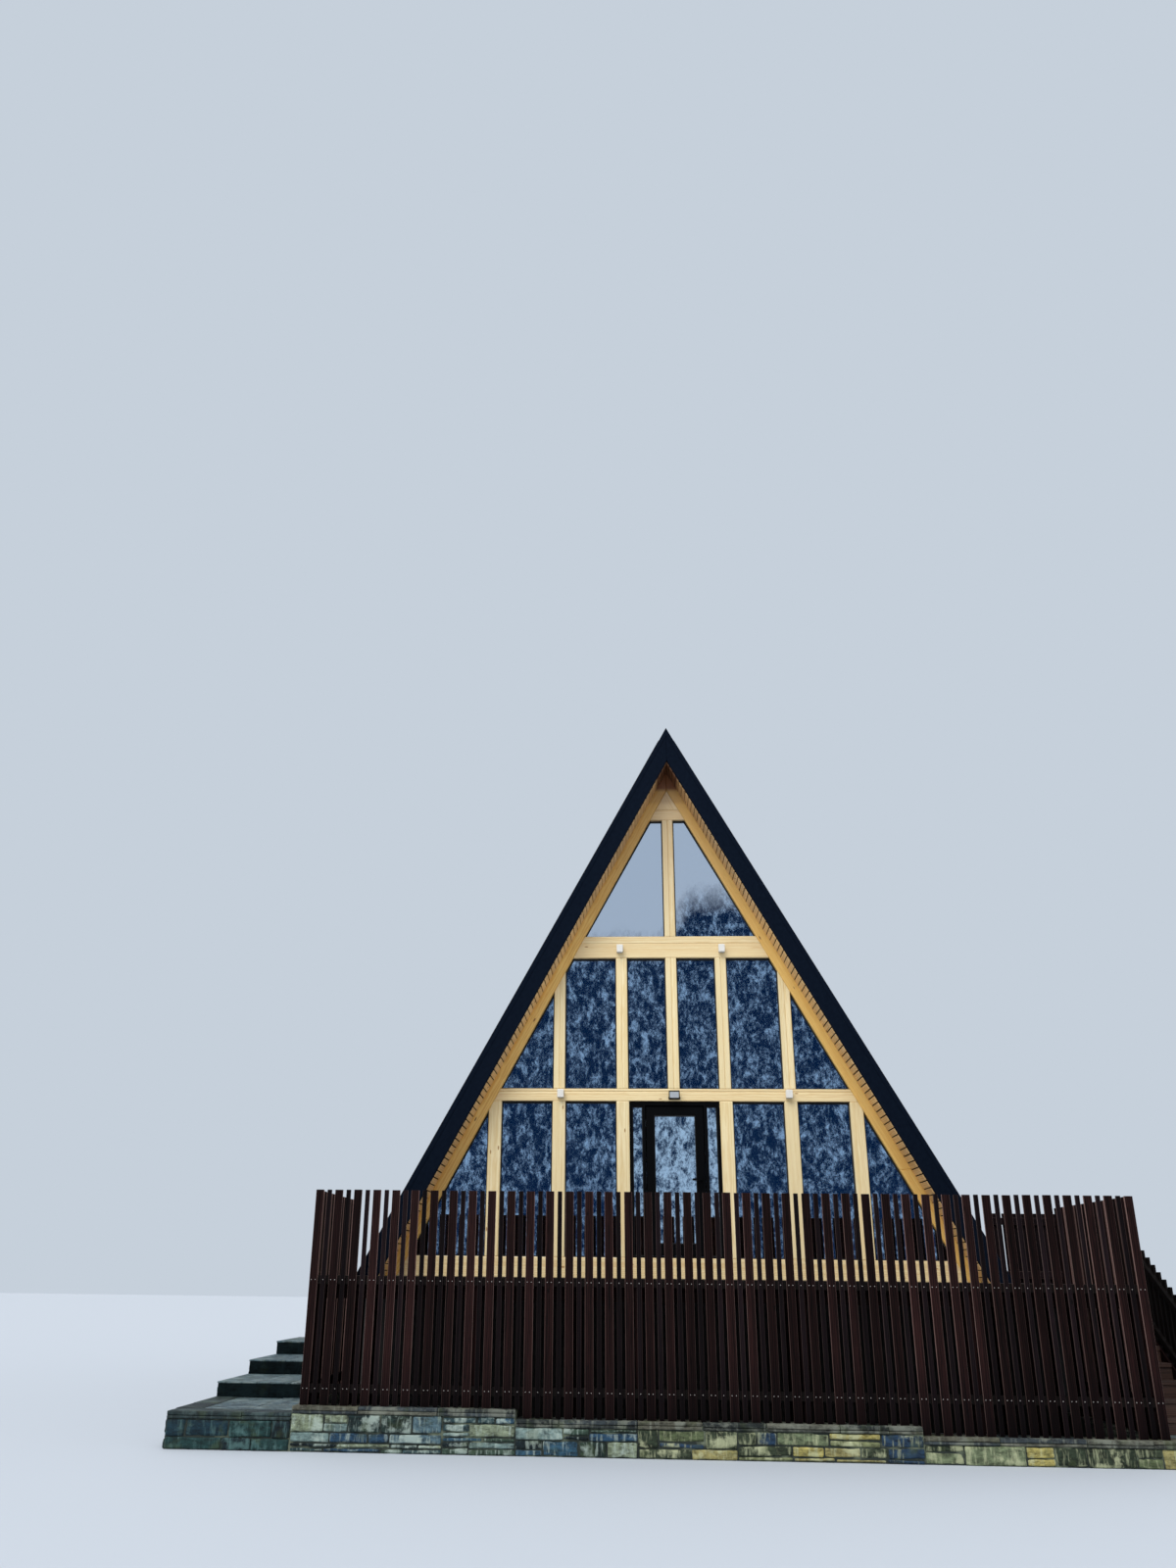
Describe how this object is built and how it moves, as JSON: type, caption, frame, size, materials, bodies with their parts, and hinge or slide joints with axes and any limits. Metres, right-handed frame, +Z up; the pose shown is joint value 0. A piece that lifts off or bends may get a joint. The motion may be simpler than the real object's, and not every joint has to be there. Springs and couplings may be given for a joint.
{
  "type": "a-frame cabin",
  "caption": "Timber a-frame cabin with a glazed gable and hinged glass door, on a raised terrace with a slatted screen, a wooden stair and a stepped stone plinth.",
  "frame": {"origin": "on the ground, on the cabin's axis, under the face of the front frame", "axes": "+Z is up, -Y is the glazed front, +X runs along the front to the stair's side"},
  "size_m": [11.432, 12.99, 9.591],
  "materials": {
    "stone": "rough mixed masonry",
    "render": "rendered masonry",
    "floor_timber": "planed boards",
    "soffit_pine": "lacquered boards",
    "roof_cover": "dark standing-seam sheet",
    "dark_metal": "dark folded sheet",
    "frame_pine": "lacquered pine",
    "window_glass": "reflecting insulating glass",
    "door_black": "satin black",
    "steel": "satin",
    "stained_wood": "dark brown stain",
    "deck_wood": "brown stain",
    "lamp_white": "white",
    "lamp_black": "black housing"
  },
  "bodies": {
    "cabin": {"stone_wall_left": "stone", "stone_wall_middle": "stone", "stone_wall_right": "stone", "stone_returns": "stone", "stone_landings": "stone", "stone_steps": "stone", "foundation_ends": "render", "foundation_sides": "render", "cabin_floor": "floor_timber", "loft_floor": "floor_timber", "roof_left": "soffit_pine", "roof_right": "soffit_pine", "roof_cover_left": "roof_cover", "roof_cover_right": "roof_cover", "ridge_cap": "dark_metal", "verge_front": "dark_metal", "verge_back": "dark_metal", "front_rafters": "frame_pine", "front_beams": "frame_pine", "front_posts": "frame_pine", "back_rafters": "frame_pine", "back_beams": "frame_pine", "back_posts": "frame_pine", "front_glass": "window_glass", "back_glass": "window_glass", "sidelight_glass": "window_glass", "door_jambs": "door_black", "door_rails": "door_black", "door_hinges": "steel", "deck_posts": "stained_wood", "deck_beams": "stained_wood", "screen_front": "stained_wood", "screen_left": "stained_wood", "screen_right": "stained_wood", "stair_stringers": "stained_wood", "stair_balustrade": "stained_wood", "head_balustrade": "stained_wood", "deck_boards": "deck_wood", "stair_treads": "deck_wood", "wall_lamps": "lamp_white", "floodlight": "lamp_black"},
    "door": {"door_leaf": "door_black", "door_glass": "window_glass", "door_handle": "steel", "leaf_hinges": "steel"}
  },
  "joints": [
    {"name": "door_swing", "type": "hinge", "parent": "cabin", "child": "door", "pos_m": [-0.403, 0.124, 2.5], "axis": [0, 0, 1], "range_deg": [0, 95]}
  ]
}
